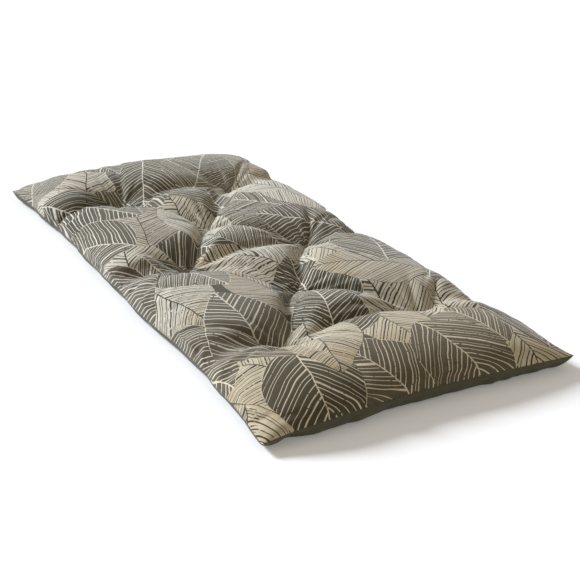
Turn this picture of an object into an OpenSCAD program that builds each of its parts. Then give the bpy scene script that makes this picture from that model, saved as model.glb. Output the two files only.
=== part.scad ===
// Tufted futon mattress, to lie on the floor.
// Two panels of cloth meet at one seam all round, with no boxing strip between them.
// Inside lie three layers of filling, and eight ties of twine pass right through.
// The width runs along X, the length along Y, and the underside rests at Z = 0.

/* [Outline] */
// Width at the corners
mattress_w = 600; // [540:10:700]
// Length at the corners
mattress_l = 1200; // [1100:10:1600]
// How far the long sides pull in at mid length
side_pull = 13; // [0:1:25]
// How far the ends pull in at mid width
end_pull = 8; // [0:1:25]
// Further pull of a long side beside each tie of a pair
notch_pull = 7; // [0:1:12]
// Half length of such a notch in a long side
notch_reach = 45; // [30:5:80]

/* [Height] */
// Height of the fullest pillow above the floor
loft = 88; // [76:1:110]
// Height of the seam at the middle of a side
seam_h = 28; // [20:1:34]
// Height of the seam at a corner's tip
tip_h = 18; // [10:1:20]
// Width of the shoulder, from the seam in to the full height
shoulder_w = 150; // [110:5:200]
// Width of the rolled lower edge, from the seam in to the floor
roll_w = 44; // [24:1:46]

/* [Tufting] */
// Distance along the mattress from one row of ties to the next
row_pitch = 180; // [160:5:220]
// Distance between the two ties of a pair
pair_spacing = 276; // [220:4:320]
// Height of the top cloth under a tie
tuft_h = 36; // [30:1:46]
// Reach of the hollow round a tie
tuft_reach = 52; // [35:1:70]
// Depth of the valleys that join one tie's hollow to the next
valley_depth = 20; // [0:1:28]
// Half width of a valley
valley_reach = 34; // [25:1:50]
// How far a tie draws the underside up off the floor
pocket_h = 9; // [8:0.5:12]
// Width of the flattened cloth under a tie's stitch
land_w = 14; // [12:0.5:20]

/* [Cloth and filling] */
// Thickness of each cloth panel
panel_t = 1.2; // [0.8:0.1:1.6]
// Thickness of the wadding under the top panel, where nothing presses it
top_wadding_t = 18; // [10:1:25]
// Thickness of the wadding over the base panel, where nothing presses it
base_wadding_t = 14; // [10:1:20]
// Distance from the seam in to the edge of the filling
fill_setback = 12; // [10:1:16]

/* [Thread] */
// Diameter of the tufting twine
twine_d = 1.6; // [1:0.1:2]
// Distance between the two strands of a tie
stitch_span = 8; // [6:0.5:9]
// Diameter of a tie's knot
knot_d = 4.5; // [4:0.1:5]
// Diameter of the sewing thread
thread_d = 1; // [0.6:0.1:1.2]
// Gap round a strand in its needle hole, and under a stitch
thread_gap = 0.3; // [0.2:0.05:0.4]
// Length of the filling opening, sewn up by hand in the near end
opening_l = 240; // [150:10:300]
// Distance between the stitches that close it
closing_pitch = 10; // [8:1:15]

/* [Hidden] */
half_w = mattress_w / 2;
half_l = mattress_l / 2;
half_land = land_w / 2;
tie_x = pair_spacing / 2;
end_row = 2 * row_pitch;
needle_d = twine_d + 2 * thread_gap;
// A tie's outer stitch is two turns of twine, a little fuller than one strand
stitch_d = 1.25 * twine_d;
stitch_l = stitch_span + 2 * stitch_d;
stitch_bevel = stitch_d / 4;
closing_l = 4 * panel_t;
closing_lean = 25;
// How blunt the shoulder is: a half would be a quarter ellipse
crown_power = 0.66;
// Shape of a tie's hollow, from 1, a cone, to 2, a bowl
hollow_power = 1.25;
// How late along a side its seam drops to the corner's tip
tip_power = 4;
// Columns and rows of the ties, counted from the middle: pairs and single ones by turns
tie_places = [[-1, -2], [1, -2], [0, -1], [-1, 0], [1, 0], [0, 1], [-1, 2], [1, 2]];
ties = [for (p = tie_places) [p[0] * tie_x, p[1] * row_pitch]];
tie_numbers = [0:len(ties) - 1];
// Valleys join the ties of one row and of the next, and run from a pair out to the long sides
valleys = [
    for (a = tie_numbers) for (b = tie_numbers)
        if (a < b && abs(tie_places[a][1] - tie_places[b][1]) <= 1) [ties[a], ties[b]],
    for (a = tie_numbers)
        if (tie_places[a][0] != 0) [ties[a], [sign(ties[a][0]) * half_w, ties[a][1]]]
];
// Surfaces of the layers, from the top down
top_face = 0;
under_top_panel = 1;
under_top_wadding = 2;
under_core = 3;
over_base_panel = 4;
floor_face = 5;

// Grid lines, with one on each side of every tie's land and one at the filling's edge

function mirrored(half) = concat([for (i = [len(half) - 1:-1:0]) -half[i]], half);
function divided(keys, steps) = [
    for (k = [0:len(steps) - 1]) for (i = [0:steps[k] - 1])
        keys[k] + (keys[k + 1] - keys[k]) * i / steps[k],
    keys[len(keys) - 1]
];
grid_x = divided(
    mirrored([half_land, tie_x - half_land, tie_x + half_land, half_w - fill_setback, half_w]),
    [1, 4, 1, 3, 1, 3, 1, 4, 1]
);
grid_y = divided(
    mirrored([
        half_land, row_pitch - half_land, row_pitch + half_land,
        end_row - half_land, end_row + half_land, half_l - fill_setback, half_l
    ]),
    [1, 6, 1, 4, 1, 4, 1, 4, 1, 4, 1, 6, 1]
);
last_x = len(grid_x) - 1;
last_y = len(grid_y) - 1;

// Plan shape: the sides and ends draw in between the corners, and the ties stay in line

function share(v) = max(0, min(1, v));
function bow(v) = 1 - pow(v, 2);
function fade(distance, reach) = exp(-pow(distance / reach, 2));
function side_in(y) = side_pull * bow(y / half_l)
    + notch_pull * (fade(y, notch_reach) + fade(y - end_row, notch_reach) + fade(y + end_row, notch_reach));
function end_in(x) = end_pull * bow(x / half_w);
function drawn_in(x, y) = [
    x - sign(x) * side_in(y) * share((abs(x) - tie_x - half_land) / (half_w - tie_x - half_land)),
    y - sign(y) * end_in(x) * share((abs(y) - end_row - half_land) / (half_l - end_row - half_land))
];

// Heights

function crown(inward) = pow(1 - pow(1 - share(inward / shoulder_w), 2), crown_power);
function rolled(inward) = sqrt(1 - pow(1 - share(inward / roll_w), 2));
function seam_z(x, y) = seam_h - (seam_h - tip_h) * pow(abs(x * y) / (half_w * half_l), tip_power);
function to_line(p, line) = let (
    along = line[1] - line[0],
    t = share((p - line[0]) * along / (along * along))
) norm(p - line[0] - t * along);
function valley(p) = max([for (v = valleys) fade(to_line(p, v), valley_reach)]);
function hollow(p, n = 0) = n == len(ties) ? 1
    : (1 - exp(-pow(norm(p - ties[n]) / tuft_reach, hollow_power))) * hollow(p, n + 1);
function on_land(p) = min([for (t = ties) max(abs(p[0] - t[0]), abs(p[1] - t[1]))]) < 1.01 * half_land;

function top_z(x, y) = on_land([x, y]) ? tuft_h : let (
    rim = seam_z(x, y) + panel_t,
    full = (loft - rim) * crown(half_w - abs(x)) * crown(half_l - abs(y)),
    tied = (tuft_h - seam_h - panel_t) / (loft - seam_h - panel_t),
    open = (1 - valley_depth / loft * valley([x, y])) * (tied + (1 - tied) * hollow([x, y]))
) rim + full * open;
function floor_z(x, y) = on_land([x, y]) ? pocket_h
    : (seam_z(x, y) - panel_t) * (1 - rolled(half_w - abs(x)) * rolled(half_l - abs(y)));

// The layers are pressed together in proportion wherever a tie or the edge thins the mattress
function face_z(face, x, y) = let (
    on_rim = abs(x) == half_w || abs(y) == half_l,
    upper = on_rim ? seam_z(x, y) : top_z(x, y) - panel_t,
    lower = on_rim ? seam_z(x, y) : floor_z(x, y) + panel_t,
    pressed = (upper - lower) / (loft - 2 * panel_t)
) face == top_face ? upper + panel_t
    : face == under_top_panel ? upper
    : face == under_top_wadding ? upper - top_wadding_t * pressed
    : face == under_core ? lower + base_wadding_t * pressed
    : face == over_base_panel ? lower
    : lower - panel_t;
function face_point(face, i, j) = let (
    x = grid_x[i],
    y = grid_y[j]
) concat(drawn_in(x, y), face_z(face, x, y));

// Grid places round the edge, counter-clockwise from above, a number of lines in from the seam
function edge_places(inset) = concat(
    [for (i = [inset:last_x - inset - 1]) [i, inset]],
    [for (j = [inset:last_y - inset - 1]) [last_x - inset, j]],
    [for (i = [last_x - inset:-1:inset + 1]) [i, last_y - inset]],
    [for (j = [last_y - inset:-1:inset + 1]) [inset, j]]
);

module needle_holes() {
    for (t = ties) for (side = [-1, 1])
        translate([t[0] + side * stitch_span / 2, t[1], -panel_t])
            cylinder(d = needle_d, h = loft, $fn = 24);
}

// One layer between two of the surfaces, with the ties' needle holes through it
module layer(upper_face, lower_face, inset) {
    columns = [inset:last_x - inset];
    rows = [inset:last_y - inset];
    row_count = last_y - 2 * inset + 1;
    below = (last_x - 2 * inset + 1) * row_count;
    function place(i, j) = (i - inset) * row_count + j - inset;
    points = [for (face = [upper_face, lower_face]) for (i = columns) for (j = rows) face_point(face, i, j)];
    cells = [
        for (i = [inset:last_x - inset - 1]) for (j = [inset:last_y - inset - 1])
            let (
                corners = [place(i, j), place(i, j + 1), place(i + 1, j + 1), place(i + 1, j)],
                // The fold of each cell points at the nearest corner of the mattress
                turn = (2 * i < last_x) == (2 * j < last_y) ? 0 : 1
            ) [for (k = [0:3]) corners[(k + turn) % 4]]
    ];
    loop = [for (p = edge_places(inset)) place(p[0], p[1])];
    faces = [
        for (c = cells) each [[c[0], c[1], c[2]], [c[0], c[2], c[3]]],
        for (c = cells) each [[below + c[0], below + c[2], below + c[1]], [below + c[0], below + c[3], below + c[2]]],
        for (k = [0:len(loop) - 1])
            let (p = loop[k], q = loop[(k + 1) % len(loop)])
                each [[p, q, below + q], [p, below + q, below + p]]
    ];
    difference() {
        polyhedron(points = points, faces = faces);
        needle_holes();
    }
}

module top_panel() {
    color("#8b857d") layer(top_face, under_top_panel, 0);
}

module base_panel() {
    color("#4d4d42") layer(over_base_panel, floor_face, 0);
}

module top_wadding() {
    color("#e9e4d6") layer(under_top_panel, under_top_wadding, 1);
}

module filling_core() {
    color("#d6cfbd") layer(under_top_wadding, under_core, 1);
}

module base_wadding() {
    color("#e9e4d6") layer(under_core, over_base_panel, 1);
}

// The lockstitch that joins the panels, in the angle where they meet inside the seam
module perimeter_thread() {
    rim_places = edge_places(0);
    count = len(rim_places);
    radius = thread_d / 2;
    function thread_ring(place) = let (
        inner_place = [max(1, min(last_x - 1, place[0])), max(1, min(last_y - 1, place[1]))],
        rim = face_point(under_top_panel, place[0], place[1]),
        above = face_point(under_top_panel, inner_place[0], inner_place[1]),
        beneath = face_point(over_base_panel, inner_place[0], inner_place[1]),
        inward = [above[0] - rim[0], above[1] - rim[1], 0],
        gaping = min(above[2] - rim[2], rim[2] - beneath[2]) / norm(inward),
        step_in = max(radius, radius / gaping) + thread_gap * norm([1, 1 / gaping]),
        unit = inward / norm(inward),
        centre = rim + step_in * unit
    ) [centre - radius * unit, centre + [0, 0, radius], centre + radius * unit, centre - [0, 0, radius]];
    faces = [
        for (k = [0:count - 1]) for (side = [0:3])
            let (
                here = 4 * k,
                next = 4 * ((k + 1) % count),
                other = (side + 1) % 4
            ) each [
                [here + side, here + other, next + other],
                [here + side, next + other, next + side]
            ]
    ];
    color("#6f6b60") polyhedron(points = [for (p = rim_places) each thread_ring(p)], faces = faces);
}

// Whip stitches over the seam, where the cover was filled and sewn up by hand
module closing_stitches() {
    near_rim = [for (i = [0:last_x]) face_point(under_top_panel, i, 0)];
    rim_y = [for (p = near_rim) [p[0], p[1]]];
    rim_z = [for (p = near_rim) [p[0], p[2]]];
    color("#5d594f")
        for (x = [-opening_l / 2:closing_pitch:opening_l / 2])
            translate([x, lookup(x, rim_y) - thread_d / 2 - thread_gap, lookup(x, rim_z)])
                rotate([0, closing_lean, 0])
                    cylinder(d = thread_d, h = closing_l, center = true, $fn = 24);
}

// A short bar of twine along X, with eased ends
module outer_stitch() {
    profile = [
        [0, 0], [stitch_d / 2 - stitch_bevel, 0], [stitch_d / 2, stitch_bevel],
        [stitch_d / 2, stitch_l - stitch_bevel], [stitch_d / 2 - stitch_bevel, stitch_l], [0, stitch_l]
    ];
    translate([-stitch_l / 2, 0, 0]) rotate([0, 90, 0]) rotate_extrude($fn = 24) polygon(profile);
}

// Two strands right through, a stitch on the top cloth, and a stitch and knot in the pocket beneath
module tuft_tie(place) {
    upper = tuft_h + thread_gap + stitch_d / 2;
    lower = pocket_h - thread_gap - stitch_d / 2;
    color("#77736a") translate([place[0], place[1], 0]) {
        translate([0, 0, upper]) outer_stitch();
        translate([0, 0, lower]) outer_stitch();
        translate([0, 0, lower - knot_d / 3]) sphere(d = knot_d, $fn = 24);
        for (side = [-1, 1])
            translate([side * stitch_span / 2, 0, lower])
                cylinder(d = twine_d, h = upper - lower, $fn = 24);
    }
}

top_panel();
base_panel();
top_wadding();
filling_core();
base_wadding();
perimeter_thread();
closing_stitches();
for (n = tie_numbers)
    tuft_tie(ties[n]);
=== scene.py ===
import math

import bpy
import numpy as np
from mathutils import Matrix, Vector


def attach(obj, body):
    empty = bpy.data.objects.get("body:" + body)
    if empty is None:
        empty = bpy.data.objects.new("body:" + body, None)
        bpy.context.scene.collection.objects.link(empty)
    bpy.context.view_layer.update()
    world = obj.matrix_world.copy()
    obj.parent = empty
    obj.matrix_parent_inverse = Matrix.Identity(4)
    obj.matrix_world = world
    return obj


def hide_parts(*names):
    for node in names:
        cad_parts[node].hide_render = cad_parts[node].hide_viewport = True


# Tufted futon mattress: two canvas panels, three layers of filling, eight ties of twine.
# Width along X, length along Y, underside at Z = 0, all in metres.

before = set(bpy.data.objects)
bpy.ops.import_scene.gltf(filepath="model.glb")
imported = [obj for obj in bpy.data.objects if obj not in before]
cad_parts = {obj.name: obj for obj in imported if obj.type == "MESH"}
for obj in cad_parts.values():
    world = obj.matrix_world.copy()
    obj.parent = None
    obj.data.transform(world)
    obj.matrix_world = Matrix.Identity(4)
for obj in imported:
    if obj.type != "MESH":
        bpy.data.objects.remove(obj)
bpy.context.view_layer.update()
scene = bpy.context.scene
scene.view_settings.view_transform = "Standard"

# ---- the shape of the stuffed cover ----

mattress = dict(
    width=0.6,
    length=1.2,
    loft=0.0835,           # top of the fullest pillows
    seamHeight=0.0315,     # seam above the floor at the middle of an end
    leftSeam=0.0185,       # and at the middle of each long side, which slumps a little
    rightSeam=0.0260,
    shoulder=0.150,        # from the seam in to the full height
    crown=0.66,            # power of the shoulder's curve; a lower one is fuller
    lowerRoll=0.022,       # from the seam in to where the underside meets the floor
    tipPower=4,            # how closely a corner keeps its own height to itself
    sidePull=0.013,        # how far the long sides draw in at mid length
    endPull=0.008,
    pullStart=(0.138, 0.36),   # the draw begins this far from the middle, across and along
    pullRun=(0.162, 0.24),     # and is full this much further out
    pairRows=(-2, 0, 2),   # rows with two ties, each of which notches its long side
    notchPull=0.007,       # extra draw of the side at a notch
    notchReach=0.045,
    notchWidth=0.021,      # and the fold of the top cloth there
    notchDepth=0.34,
    notchStart=0.19,       # from the middle out to where the fold begins
    notchRun=0.09,
    rowPitch=0.180,
    tuftTop=0.031,         # top cloth at a tie
    tuftBase=0.009,        # base cloth at a tie
    hollowReach=0.052,
    hollowPower=1.25,      # a higher one gives the hollow a rounder floor
    valleyDepth=0.030,
    valleyReach=0.030,
    underside=0.0008,      # flat of the base cloth above the floor
    leastGap=0.0006,       # and the least that its folds leave
)

# Ties in the order of the model's nodes; side -1, 0 or 1, row from the middle,
# real place, and how hard the cloth creases there
ties = [
    dict(side=-1, row=-2, place=(-0.129, -0.362), creased=1.1),
    dict(side=1, row=-2, place=(0.151, -0.356), creased=0.4),
    dict(side=0, row=-1, place=(-0.003, -0.177), creased=1.1),
    dict(side=-1, row=0, place=(-0.143, -0.011), creased=1.2),
    dict(side=1, row=0, place=(0.133, 0.004), creased=1.2),
    dict(side=0, row=1, place=(-0.004, 0.176), creased=1.2),
    dict(side=-1, row=2, place=(-0.124, 0.359), creased=0.8),
    dict(side=1, row=2, place=(0.140, 0.357), creased=0.6),
]

# Corner by corner: how far it has slipped from the true rectangle, and its height
cornerTips = {
    (-1, -1): (-0.005, 0.016, 0.015),
    (1, -1): (0.012, 0.001, 0.027),
    (-1, 1): (0.009, 0.006, 0.021),
    (1, 1): (-0.016, 0.007, 0.022),
}

# Uneven fullness along the edges
swells = dict(
    # side or end, place along it, amount outwards
    sides=[
        (-1, -0.48, -0.009), (-1, -0.27, -0.010), (-1, -0.09, 0.000), (-1, 0.0, 0.004),
        (-1, 0.09, -0.003), (-1, 0.27, -0.009), (-1, 0.48, -0.008),
        (1, -0.48, -0.008), (1, -0.27, -0.004), (1, -0.09, -0.008), (1, 0.0, -0.005),
        (1, 0.09, -0.015), (1, 0.27, -0.008), (1, 0.45, -0.006), (1, 0.60, 0.016),
    ],
    ends=[
        (-1, -0.18, 0.009), (-1, 0.0, 0.001), (-1, 0.18, 0.004),
        (1, -0.18, -0.004), (1, 0.0, 0.012), (1, 0.18, -0.012),
    ],
    sideReach=0.09,        # half length of a swell
    endReach=0.11,
    sidePower=3,           # how closely a swell keeps to its own edge
    endPower=6,
    topRise=5.0,           # change in the top's height, per metre that the edge moves
    sideRisePower=1.5,
    endRisePower=4,
)

cut = dict(
    width=0.626,           # cloth of one panel between its seams
    length=1.250,
    topColumns=120,        # cloth squares of about 5 mm
    baseColumns=60,
    middleStep=0.009,      # and of 9 mm on the finished base
    marginStep=0.003,      # with finer lines where it rolls under
    margin=0.048,
    rollKept=0.030,        # the drawn shape holds this far in from the seam
    rollBlend=0.050,       # and gives way to the simulated one over this
    heldPatch=0.0075,      # radius of cloth that a tie gathers
    gathered=0.4,          # share of its own width that the patch keeps
)


def share(value):
    return np.clip(value, 0, 1)


def smoothStep(value):
    return share(value) ** 2 * (3 - 2 * share(value))


def fade(distance, reach):
    return np.exp(-(distance / reach) ** 2)


def clothGrid(columns):
    u = np.linspace(-cut["width"] / 2, cut["width"] / 2, columns + 1)
    v = np.linspace(-cut["length"] / 2, cut["length"] / 2, 2 * columns + 1)
    return np.meshgrid(u, v, indexing="ij")


def topPlan(u, v):
    # a point of the top cloth, on the unpulled rectangle
    return u * mattress["width"] / cut["width"], v * mattress["length"] / cut["length"]


def underPlan(u, v):
    # the same for the base cloth, whose margin is used up where it rolls under
    angle = np.linspace(0, math.pi / 2, 60)
    inset = mattress["lowerRoll"] * (1 - np.cos(angle))
    drop = mattress["seamHeight"] * np.sin(angle)
    used = np.concatenate([[0], np.cumsum(np.hypot(np.diff(inset), np.diff(drop)))])
    plan = []
    for place, side in ((u, "width"), (v, "length")):
        half, cutHalf = mattress[side] / 2, cut[side] / 2
        along = cutHalf - abs(place)
        flat = inset[-1] + (along - used[-1]) * (half - inset[-1]) / (cutHalf - used[-1])
        rolled = np.interp(along, used, inset)
        plan.append(np.sign(place) * (half - np.where(along < used[-1], rolled, flat)))
    return plan


def toValleys(x, y):
    # distance to the nearest line between ties, or from a tie out to its long side
    m = mattress
    lines = [
        (a["place"], b["place"])
        for i, a in enumerate(ties) for b in ties[i + 1:] if abs(a["row"] - b["row"]) <= 1
    ]
    lines += [
        (t["place"], (t["side"] * m["width"] / 2, t["row"] * m["rowPitch"]))
        for t in ties if t["side"]
    ]
    nearest = np.full_like(x, m["length"])
    for (ax, ay), (bx, by) in lines:
        lx, ly = bx - ax, by - ay
        s = share(((x - ax) * lx + (y - ay) * ly) / (lx * lx + ly * ly))
        nearest = np.minimum(nearest, np.hypot(x - ax - s * lx, y - ay - s * ly))
    return nearest


def stuffedShape(x, y, valleyDepth=mattress["valleyDepth"]):
    # where the top and the base cloth lie before they wrinkle
    m, w = mattress, swells
    halfW, halfL = m["width"] / 2, m["length"] / 2
    fromSide, fromEnd = halfW - abs(x), halfL - abs(y)
    rise = 1.0
    roll = 1.0
    for inward in (fromSide, fromEnd):
        rise = rise * (1 - (1 - share(inward / m["shoulder"])) ** 2) ** m["crown"]
        roll = roll * np.sqrt(share(1 - (1 - share(inward / m["lowerRoll"])) ** 2))
    slipX, slipY, tip = 0, 0, 0
    for (sx, sy), (dx, dy, height) in cornerTips.items():
        weight = (1 + sx * x / halfW) * (1 + sy * y / halfL) / 4
        slipX, slipY, tip = slipX + weight * dx, slipY + weight * dy, tip + weight * height
    onSide = (fromEnd + 1e-6) / (fromSide + fromEnd + 2e-6)
    side = m["leftSeam"] + (m["rightSeam"] - m["leftSeam"]) * (x > 0)
    seam = m["seamHeight"] + (side - m["seamHeight"]) * smoothStep(onSide)
    seam = seam + (tip - seam) * (abs(x * y) / (halfW * halfL)) ** m["tipPower"]
    hollow = 1.0
    for t in ties:
        away = np.hypot(x - t["place"][0], y - t["place"][1])
        hollow = hollow * (1 - np.exp(-(away / m["hollowReach"]) ** m["hollowPower"]))
    tied = (m["tuftTop"] - m["seamHeight"]) / (m["loft"] - m["seamHeight"])
    valley = 1 - valleyDepth / m["loft"] * fade(toValleys(x, y), m["valleyReach"])
    outwards = smoothStep((abs(x) - m["notchStart"]) / m["notchRun"])
    for row in m["pairRows"]:
        notch = fade(y - row * m["rowPitch"], m["notchWidth"]) * outwards
        valley = valley * (1 - m["notchDepth"] * notch * (valleyDepth > 0))
    top = seam + (m["loft"] - seam) * rise * valley * (tied + (1 - tied) * hollow)
    base = seam * (1 - roll)
    sideIn = m["sidePull"] * (1 - (y / halfL) ** 2)
    for row in m["pairRows"]:
        sideIn = sideIn + m["notchPull"] * fade(y - row * m["rowPitch"], m["notchReach"])
    endIn = m["endPull"] * (1 - (x / halfW) ** 2)
    outX, outY = [share((abs(p) - m["pullStart"][k]) / m["pullRun"][k]) for k, p in enumerate((x, y))]
    px = x - np.sign(x) * sideIn * outX + slipX * abs(x) / halfW
    py = y - np.sign(y) * endIn * outY + slipY * abs(y) / halfL
    for side, place, amount in w["sides"]:
        near, out = fade(y - place, w["sideReach"]), share(side * x / halfW)
        px = px + side * amount * out ** w["sidePower"] * near
        # a side that is drawn in lies lower; a full one is no higher
        top = top * (1 + w["topRise"] * min(amount, 0) * out ** w["sideRisePower"] * near)
    for end, place, amount in w["ends"]:
        near, out = fade(x - place, w["endReach"]), share(end * y / halfL)
        py = py + end * amount * out ** w["endPower"] * near
        # the far end also stands higher where it is full
        top = top * (1 + w["topRise"] * amount * (end > 0) * out ** w["endRisePower"] * near)
    base = np.maximum(base, m["underside"])
    return np.stack([px, py, top], -1), np.stack([px, py, base], -1)


def gatherAtTies(u, v, sheet, height):
    # pulls a small patch of cloth to each tie, and tells which points it holds
    held = np.zeros(u.shape, bool)
    for t in ties:
        du = u - t["place"][0] * cut["width"] / mattress["width"]
        dv = v - t["place"][1] * cut["length"] / mattress["length"]
        patch = np.hypot(du, dv) < cut["heldPatch"]
        sheet[patch, 0] = t["place"][0] + du[patch] * cut["gathered"]
        sheet[patch, 1] = t["place"][1] + dv[patch] * cut["gathered"]
        sheet[patch, 2] = height
        held |= patch
    return held


def rimOf(shape):
    rim = np.zeros(shape, bool)
    rim[0] = rim[-1] = rim[:, 0] = rim[:, -1] = True
    return rim


def gridFaces(nu, nv, upward=True):
    n = np.arange(nu * nv).reshape(nu, nv)
    faces = np.stack([n[:-1, :-1], n[1:, :-1], n[1:, 1:], n[:-1, 1:]], -1).reshape(-1, 4)
    return faces if upward else faces[:, ::-1]


# Cotton canvas for the simulation, with the square size that these stiffnesses suit
canvasCloth = dict(
    square=0.007,
    stretch=40,
    shear=8,
    stretchDamping=25,
    shearDamping=15,
    bendDamping=1,
    airDamping=3,
    steps=6,
    gap=0.001,             # kept between the cloth and the floor
)
topCloth = dict(
    frames=40,
    drawnBy=12,            # frame by which the cloth is on its seam and ties
    start=0.026,           # height at which it starts flat
    pressure=3.0,
    bending=0.1,
    mass=0.3,
    hold=0.0,              # how firmly the drawn shape holds it, away from the ties
    rimHold=0.45,          # and along the seam
)
baseCloth = dict(
    frames=24, drawnBy=8, start=0.001, pressure=0.6, bending=0.3, mass=0.3, hold=0.16, rimHold=1.0,
)


def simulatePanel(u, v, goal, held, upward, setup):
    # flat cloth is drawn onto its seam and ties while the filling presses it out
    nu, nv = u.shape
    size = mattress["width"] / (nu - 1) / canvasCloth["square"]
    flat = np.stack([u, v, np.full_like(u, setup["start"])], -1)
    mesh = bpy.data.meshes.new("flatCloth")
    mesh.from_pydata(flat.reshape(-1, 3).tolist(), [], gridFaces(nu, nv, upward).tolist())
    sheet = bpy.data.objects.new("flatCloth", mesh)
    scene.collection.objects.link(sheet)
    sheet.shape_key_add(name="flat", from_mix=False)
    sewn = sheet.shape_key_add(name="sewn", from_mix=False)
    sewn.data.foreach_set("co", goal.astype(np.float32).ravel())
    for when, amount in ((1, 0), (setup["drawnBy"], 1)):
        sewn.value = amount
        sewn.keyframe_insert("value", frame=when)
    hold = np.full(u.shape, setup["hold"])
    hold[rimOf(u.shape)] = setup["rimHold"]
    hold[held] = 1
    group = sheet.vertex_groups.new(name="held")
    for amount in np.unique(hold[hold > 0]):
        group.add(np.where(hold.ravel() == amount)[0].tolist(), float(amount), "REPLACE")
    cloth = sheet.modifiers.new("cloth", "CLOTH")
    s = cloth.settings
    s.quality = canvasCloth["steps"]
    s.mass = setup["mass"] * size ** 2
    s.tension_stiffness = s.compression_stiffness = canvasCloth["stretch"] * size
    s.shear_stiffness = canvasCloth["shear"] * size
    s.bending_stiffness = setup["bending"]
    s.tension_damping = s.compression_damping = canvasCloth["stretchDamping"]
    s.shear_damping = canvasCloth["shearDamping"]
    s.bending_damping = canvasCloth["bendDamping"]
    s.air_damping = canvasCloth["airDamping"]
    s.vertex_group_mass = "held"
    s.use_pressure = True
    s.uniform_pressure_force = setup["pressure"]
    s.effector_weights.gravity = 0
    cloth.collision_settings.use_collision = not upward
    cloth.collision_settings.distance_min = canvasCloth["gap"]
    cloth.point_cache.frame_start = 1
    cloth.point_cache.frame_end = setup["frames"]
    ground = None
    if not upward:
        bpy.ops.mesh.primitive_plane_add(size=3, location=(0, 0, -canvasCloth["gap"] / 2))
        ground = bpy.context.object
        bpy.ops.object.modifier_add(type="COLLISION")
        ground.collision.thickness_outer = canvasCloth["gap"]
    for step in range(1, setup["frames"] + 1):
        scene.frame_set(step)
    settled = sheet.evaluated_get(bpy.context.evaluated_depsgraph_get()).data
    places = np.zeros(nu * nv * 3)
    settled.vertices.foreach_get("co", places)
    scene.frame_set(1)
    for spent in (sheet, ground):
        if spent:
            bpy.data.objects.remove(spent)
    return places.reshape(nu, nv, 3)


def blurred(field, rounds):
    for step in range(rounds):
        p = np.pad(field, ((1, 1), (1, 1)) + ((0, 0),) * (field.ndim - 2), mode="edge")
        field = (4 * field + p[:-2, 1:-1] + p[2:, 1:-1] + p[1:-1, :-2] + p[1:-1, 2:]) / 8
    return field


def finer(field):
    # a smooth grid through the same points, twice as fine both ways
    for axis in (0, 1):
        a = np.swapaxes(field, 0, axis)
        pad = np.concatenate([2 * a[:1] - a[1:2], a, 2 * a[-1:] - a[-2:-1]])
        out = np.empty((2 * len(a) - 1,) + a.shape[1:])
        out[::2] = a
        out[1::2] = (9 * (pad[1:-2] + pad[2:-1]) - pad[:-3] - pad[3:]) / 16
        field = np.swapaxes(out, 0, axis)
    return field


finish = dict(
    lumpReach=0.035,       # folds finer than this are kept from the simulation
    seamBlend=0.018,       # the cloth runs into the drawn seam over this distance
    calmFolds=0.30,        # share of the folds kept far from the ties
    calmReach=0.085,       # from a valley out to where they have calmed
    valleyCrisp=0.8,       # how much sharpness the valleys get back
    stitchReach=0.012,     # cloth that a tie's own stitch holds down
)

pinch = dict(
    # middle angle in degrees, folds and strength of each fan
    fans=((95, 5, 1.0), (-30, 4, 0.8), (205, 4, 0.8)),
    stray=25,              # a fan may turn this much from its angle
    step=0.37,             # angle between folds, in radians
    uneven=0.22,           # share of a step that a fold may stray
    bend=3,                # radians that it may turn per metre outwards
    steep=1.65,            # depth of a fold against its half width
    steepRange=(0.4, 1.3),
    reach=0.060,
    reachRange=(0.7, 1.5),
    width=0.0014,          # half width at the tie
    spread=0.060,          # and what it gains per metre outwards
    start=0.014,           # a fold has its full depth from here
    seed=5,
)


def pinchFolds(x, y):
    # sharp creases that run out from each tie, where the cloth is drawn together
    p = pinch
    rng = np.random.default_rng(p["seed"])
    height = np.zeros_like(x)
    for t in ties:
        dx, dy = x - t["place"][0], y - t["place"][1]
        away, angle = np.hypot(dx, dy), np.arctan2(dy, dx)
        for middle, count, strength in p["fans"]:
            middle = math.radians(middle + rng.uniform(-p["stray"], p["stray"]))
            start = middle - p["step"] * (count - 1) / 2
            for k in range(count):
                turn = start + p["step"] * (k + rng.uniform(-p["uneven"], p["uneven"]))
                bend = rng.uniform(-p["bend"], p["bend"])
                reach = p["reach"] * rng.uniform(*p["reachRange"])
                steep = p["steep"] * strength * t["creased"] * rng.uniform(*p["steepRange"])
                off = angle - turn - bend * away
                wide = p["width"] + p["spread"] * away
                crease = fade(away * np.sin(off), wide) * (np.cos(off) > 0)
                height -= steep * wide * crease * smoothStep(away / p["start"]) * fade(away, reach)
    return height


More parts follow.
